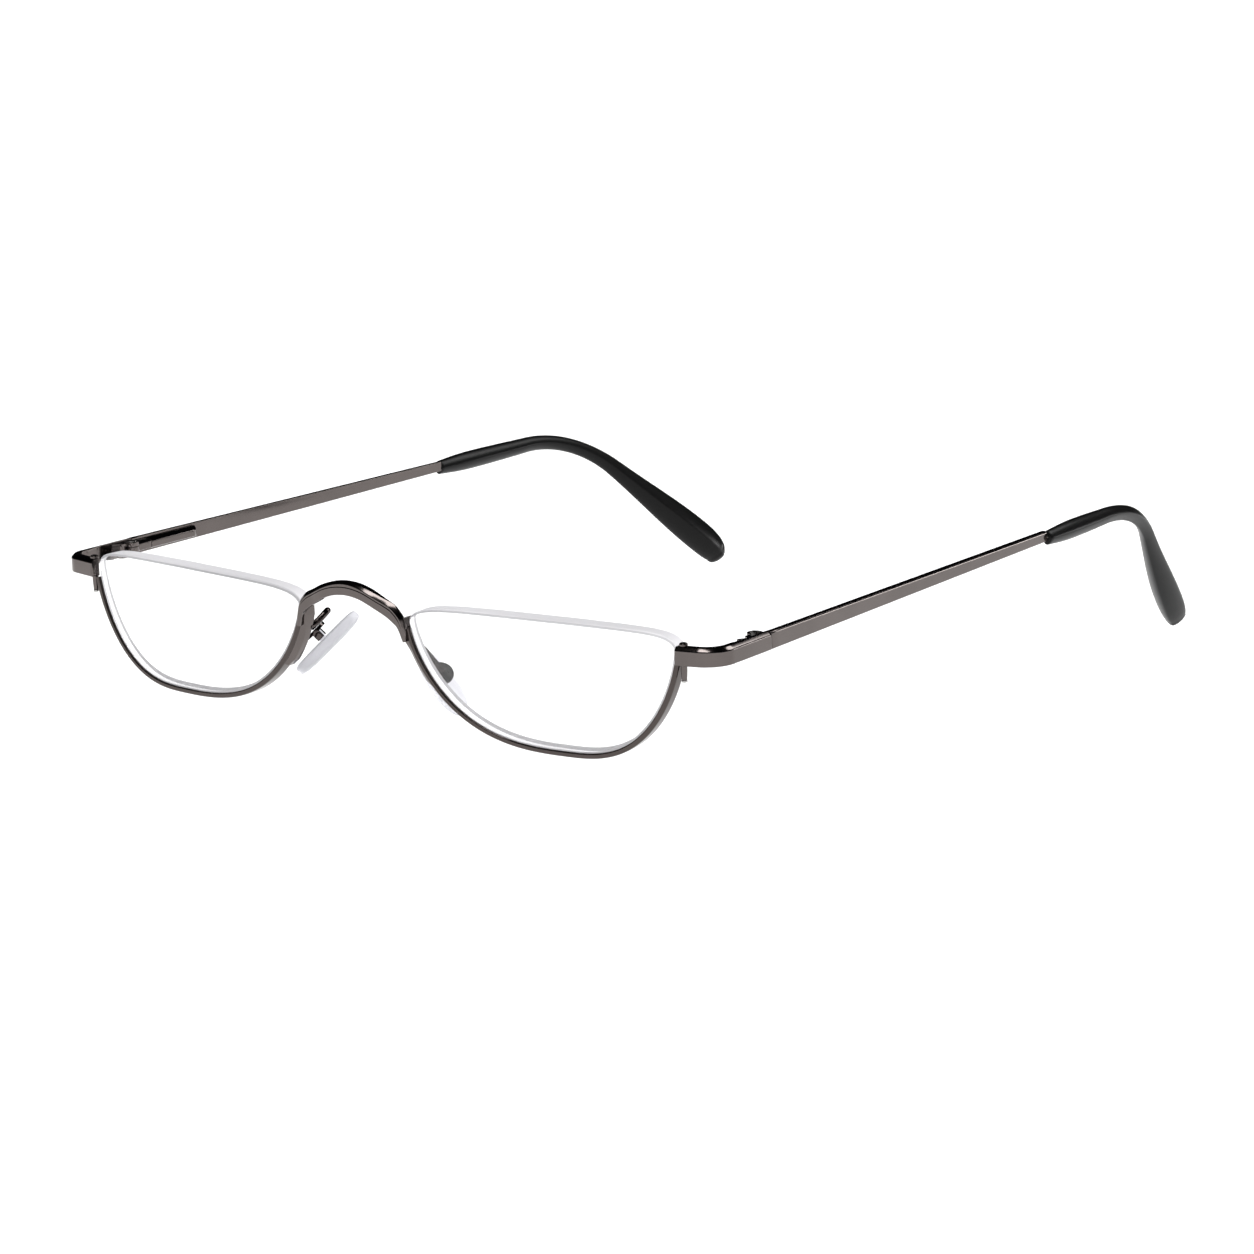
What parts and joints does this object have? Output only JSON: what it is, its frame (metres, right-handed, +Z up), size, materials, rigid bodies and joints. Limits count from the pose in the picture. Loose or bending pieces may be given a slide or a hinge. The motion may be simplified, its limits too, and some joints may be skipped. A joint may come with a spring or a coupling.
{
  "type": "half-rim reading glasses",
  "caption": "Half-moon reading glasses with metal half rims under the lenses, an arched bridge, adjustable nose pads, sprung hinges and black temple tips.",
  "frame": {"origin": "on the surface it rests on, under the middle of its bounding box", "axes": "+X to the wearer's left, +Y from the lenses back to the ends of the temples, +Z up; it stands open on the rims and the ends of the tips"},
  "size_m": [0.1282, 0.1556, 0.0257],
  "materials": {
    "frame": "gunmetal plated nickel silver, polished",
    "screw": "turned steel",
    "lens": "clear moulded lens, polished edge",
    "pad": "clear soft moulded pad",
    "tip": "black moulded sleeve, satin"
  },
  "bodies": {
    "front": {"bridge": "frame", "rim_left": "frame", "lens_left": "lens", "nose_strap_left": "frame", "end_piece_left": "frame", "rim_lock_left": "frame", "lock_screw_left": "screw", "front_hinge_left": "frame", "hinge_screw_left": "screw", "pad_arm_left": "frame", "pad_cup_left": "frame", "pad_screw_left": "screw", "rim_right": "frame", "lens_right": "lens", "nose_strap_right": "frame", "end_piece_right": "frame", "rim_lock_right": "frame", "lock_screw_right": "screw", "front_hinge_right": "frame", "hinge_screw_right": "screw", "pad_arm_right": "frame", "pad_cup_right": "frame", "pad_screw_right": "screw"},
    "link_left": {"hinge_link_left": "frame", "spring_stop_left": "screw", "spring_left": "screw"},
    "temple_left": {"temple_left": "frame", "temple_tip_left": "tip", "spring_box_left": "frame", "spring_bush_left": "screw"},
    "pad_left": {"nose_pad_left": "pad"},
    "link_right": {"hinge_link_right": "frame", "spring_stop_right": "screw", "spring_right": "screw"},
    "temple_right": {"temple_right": "frame", "temple_tip_right": "tip", "spring_box_right": "frame", "spring_bush_right": "screw"},
    "pad_right": {"nose_pad_right": "pad"}
  },
  "joints": [
    {"name": "left_temple_fold", "type": "hinge", "parent": "front", "child": "link_left", "pos_m": [0.06139, -0.05818, 0.01819], "axis": [0, -0.0672, 0.9977], "range_deg": [0, 87]},
    {"name": "left_spring_pull", "type": "slide", "parent": "link_left", "child": "temple_left", "axis": [-0.0489, 0.9966, 0.0671], "range_m": [0, 0.001], "stiffness_N_per_m": 2000},
    {"name": "left_pad_rock", "type": "hinge", "parent": "front", "child": "pad_left", "pos_m": [0.01236, -0.06893, 0.00868], "axis": [0.3123, 0.9123, 0.265], "range_deg": [-8, 8]},
    {"name": "right_temple_fold", "type": "hinge", "parent": "front", "child": "link_right", "pos_m": [-0.06139, -0.05818, 0.01819], "axis": [0, 0.0672, -0.9977], "range_deg": [0, 81]},
    {"name": "right_spring_pull", "type": "slide", "parent": "link_right", "child": "temple_right", "axis": [0.0489, 0.9966, 0.0671], "range_m": [0, 0.001], "stiffness_N_per_m": 2000},
    {"name": "right_pad_rock", "type": "hinge", "parent": "front", "child": "pad_right", "pos_m": [-0.01236, -0.06914, 0.01178], "axis": [0.515, -0.8552, -0.0576], "range_deg": [-8, 8]}
  ]
}
